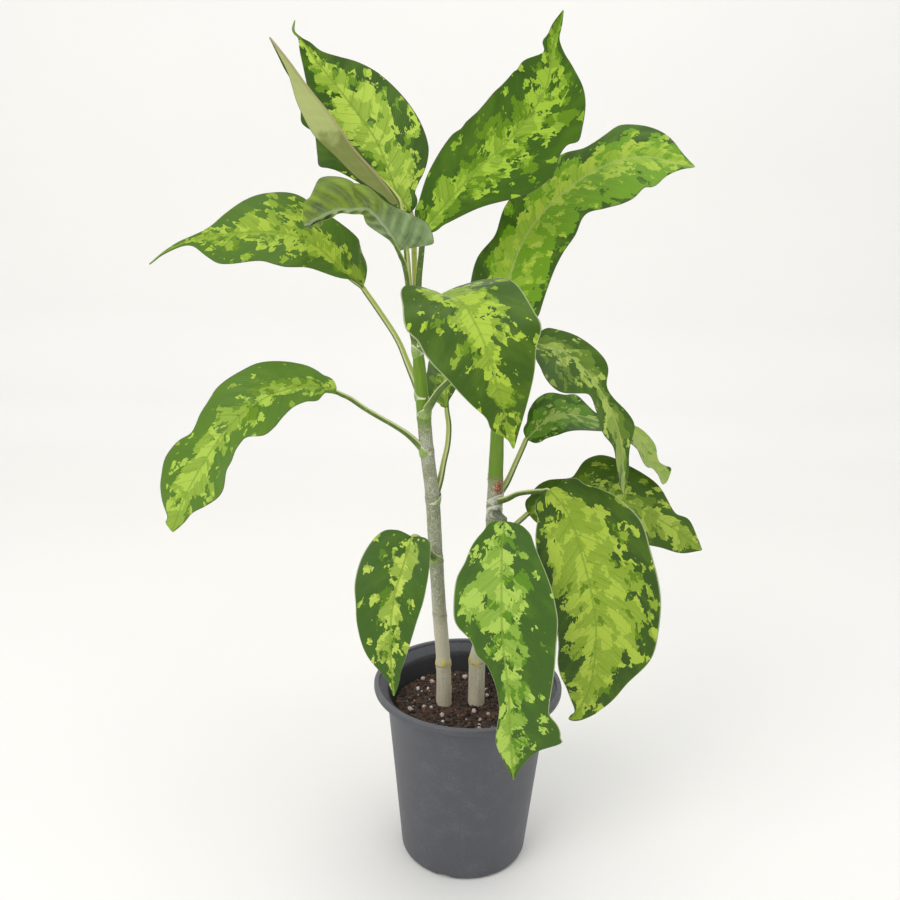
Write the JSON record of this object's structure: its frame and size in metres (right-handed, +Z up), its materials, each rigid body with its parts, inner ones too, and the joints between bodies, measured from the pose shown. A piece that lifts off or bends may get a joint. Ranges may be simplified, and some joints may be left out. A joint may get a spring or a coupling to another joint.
{
  "type": "potted chinese evergreen",
  "caption": "Variegated Chinese evergreen: bare upright canes with long-stalked, patchily marked leaves, standing in dark mix in a tapered nursery pot.",
  "frame": {"origin": "on the pot's axis, on the surface that the pot stands on", "axes": "+Z up along the pot's axis, -Y towards the side the plant is seen from, +X to the right of that view"},
  "size_m": [0.3369, 0.1882, 0.5181],
  "materials": {
    "pot": "matte, dark grey",
    "potting_mix": "damp, crumbly, dark brown",
    "cane": "smooth grey-green skin with leaf scars",
    "leaf": "satin, dark green with lime patches"
  },
  "bodies": {
    "root": {"pot": "pot", "potting_mix": "potting_mix", "left_cane": "cane", "right_cane": "cane", "leaf_small_low": "leaf", "leaf_behind_centre": "leaf", "leaf_lower_left": "leaf", "leaf_centre": "leaf", "leaf_upper_left": "leaf", "leaf_curled": "leaf", "leaf_top_right": "leaf", "leaf_folded": "leaf", "leaf_top_left": "leaf", "leaf_front": "leaf", "leaf_lower_right": "leaf", "leaf_big_right": "leaf", "leaf_mid_right": "leaf", "leaf_drooping": "leaf", "leaf_long_arching": "leaf"}
  },
  "joints": []
}
